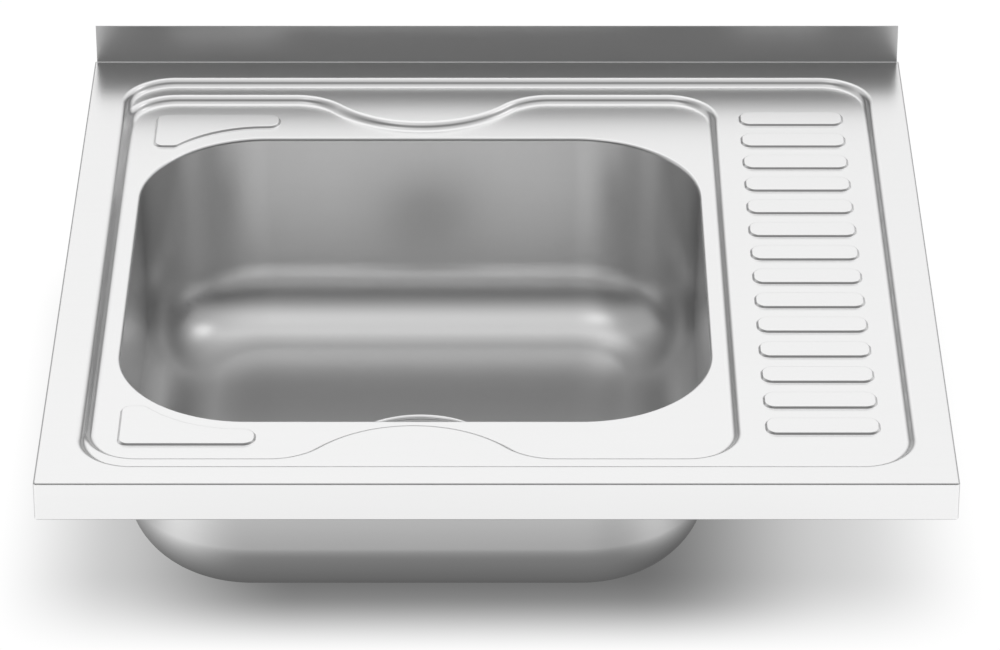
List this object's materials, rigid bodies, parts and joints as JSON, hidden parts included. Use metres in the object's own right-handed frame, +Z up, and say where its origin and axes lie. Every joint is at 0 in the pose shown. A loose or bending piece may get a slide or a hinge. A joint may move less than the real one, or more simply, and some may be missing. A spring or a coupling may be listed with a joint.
{
  "type": "kitchen sink with drainboard",
  "caption": "Square lay-on steel kitchen sink with one deep bowl, a ribbed drainer, a low splashback and a basket strainer waste that lifts out.",
  "frame": {"origin": "middle of the 600 x 600 mm outline, on the cabinet top, which is the plane under the folded edge", "axes": "+Z up, +Y to the wall behind the sink, +X to the right with the drainer at the right"},
  "size_m": [0.6, 0.6, 0.2765],
  "materials": {
    "steel_satin": "satin",
    "steel_polished": "polished",
    "galvanised": "zinc plated",
    "bitumen": "matte",
    "rubber_black": "matte",
    "plastic_white": "moulded",
    "plastic_black": "smooth",
    "brass": "turned"
  },
  "bodies": {
    "sink": {"deck_panel": "steel_satin", "bowl": "steel_satin", "sound_pad_bowl": "bitumen", "sound_pad_drainer": "bitumen", "bracket_front_left": "galvanised", "bracket_front_right": "galvanised", "bracket_back_left": "galvanised", "bracket_back_right": "galvanised", "earth_tag": "galvanised", "waste_flange": "steel_polished", "waste_gasket_upper": "rubber_black", "waste_gasket_lower": "rubber_black", "waste_body": "plastic_white", "insert_nut": "brass", "clamp_screw": "steel_polished"},
    "basket": {"basket_cup": "steel_polished", "basket_seal": "rubber_black", "basket_washer": "steel_polished", "basket_stem": "steel_polished", "basket_knob": "plastic_black"}
  },
  "joints": [
    {"name": "basket_lift", "type": "slide", "parent": "sink", "child": "basket", "axis": [0, 0, 1], "range_m": [0, 0.21]}
  ]
}
